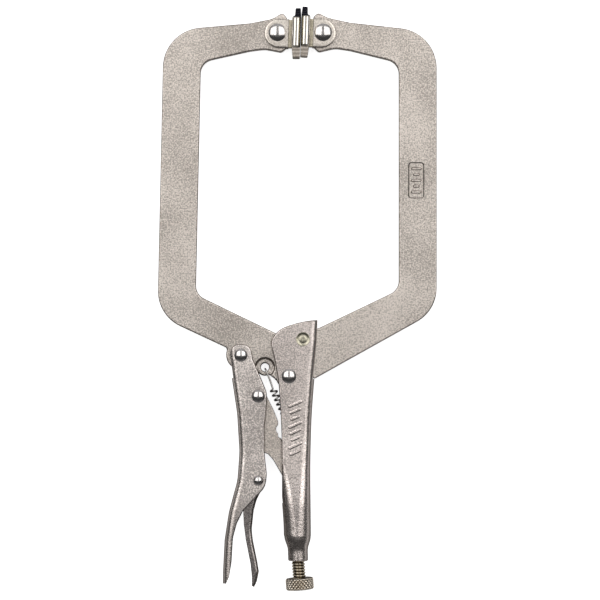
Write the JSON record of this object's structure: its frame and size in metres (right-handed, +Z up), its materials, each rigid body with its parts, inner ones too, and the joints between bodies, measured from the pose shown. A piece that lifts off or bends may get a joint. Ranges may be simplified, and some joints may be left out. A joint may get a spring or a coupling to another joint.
{
  "type": "locking pliers",
  "caption": "Large C-clamp locking pliers: two deep plate arms with swivel pads, a toggle-locked lever handle with release lever and a knurled adjusting screw.",
  "frame": {"origin": "centre of the underside of the bounding box, with the tool lying flat and its jaws closed", "axes": "+X from the moving jaw to the fixed jaw, +Y from the handles to the pads, +Z up from the bench along all the pivot pins"},
  "size_m": [0.2183, 0.4574, 0.025],
  "materials": {
    "forged_arm": "satin nickel plate over a fine sand-grained forging, bright along its edges",
    "pressed_handle": "satin nickel plate on pressed sheet steel, slightly mottled",
    "toggle_steel": "plain nickel plate, semi-bright",
    "rivet_bright": "polished domed heads",
    "rivet_flush": "dull olive passivated, flush with the cheeks",
    "screw_steel": "warm nickel plate on a rolled thread and a diamond knurl",
    "spring_wire": "bright drawn wire",
    "pad_steel": "satin nickel plate, polished on its bends and dark on its upper flap"
  },
  "bodies": {
    "root": {"fixed_handle": "pressed_handle", "fixed_jaw_arm": "forged_arm", "fixed_arm_rivet": "rivet_flush", "jaw_pivot_rivet": "rivet_bright", "fixed_pad_rivet": "rivet_bright", "tension_spring": "spring_wire"},
    "moving_jaw": {"moving_jaw_arm": "forged_arm", "lever_pivot_rivet": "rivet_bright", "moving_pad_rivet": "rivet_bright"},
    "lever": {"lever_handle": "pressed_handle", "link_rivet": "rivet_bright", "release_rivet": "rivet_bright"},
    "link": {"toggle_link": "toggle_steel"},
    "release": {"release_lever": "pressed_handle"},
    "screw": {"adjusting_screw": "screw_steel"},
    "knob": {"screw_knob": "screw_steel"},
    "moving_swivel": {"moving_pad": "pad_steel"},
    "fixed_swivel": {"fixed_pad": "pad_steel"}
  },
  "joints": [
    {"name": "jaw_swing", "type": "hinge", "parent": "root", "child": "moving_jaw", "pos_m": [-0.0067, -0.0608, 0.0125], "axis": [0, 0, 1], "range_deg": [0, 12], "deforming": ["tension_spring"]},
    {"name": "lever_swing", "type": "hinge", "parent": "moving_jaw", "child": "lever", "pos_m": [-0.0443, -0.0443, 0.0125], "axis": [0, 0, 1], "range_deg": [-41, 0]},
    {"name": "link_swing", "type": "hinge", "parent": "lever", "child": "link", "pos_m": [-0.0307, -0.0764, 0.0125], "axis": [0, 0, 1], "range_deg": [0, 45.5]},
    {"name": "release_squeeze", "type": "hinge", "parent": "lever", "child": "release", "pos_m": [-0.0307, -0.1423, 0.0125], "axis": [0, 0, 1], "range_deg": [-6, 0]},
    {"name": "screw_feed", "type": "slide", "parent": "root", "child": "screw", "axis": [0.0698, -0.9976, 0], "range_m": [0, 0.012]},
    {"name": "knob_turn", "type": "hinge", "parent": "screw", "child": "knob", "pos_m": [0.00045, -0.205, 0.0125], "axis": [0.0698, -0.9976, 0], "range_deg": [0, 1878.3]},
    {"name": "moving_pad_tilt", "type": "hinge", "parent": "moving_jaw", "child": "moving_swivel", "pos_m": [-0.0157, 0.208, 0.0125], "axis": [0, 0, 1], "range_deg": [-4, 5]},
    {"name": "fixed_pad_tilt", "type": "hinge", "parent": "root", "child": "fixed_swivel", "pos_m": [0.02, 0.2081, 0.0125], "axis": [0, 0, 1], "range_deg": [-4, 5]}
  ],
  "couplings": [
    {"joint": "lever_swing", "follows": "jaw_swing", "ratio": -3.4166},
    {"joint": "link_swing", "follows": "jaw_swing", "ratio": 3.7916},
    {"joint": "knob_turn", "follows": "screw_feed", "rad_per_m": 2731.8},
    {"joint": "moving_pad_tilt", "follows": "fixed_pad_tilt", "ratio": 1}
  ]
}
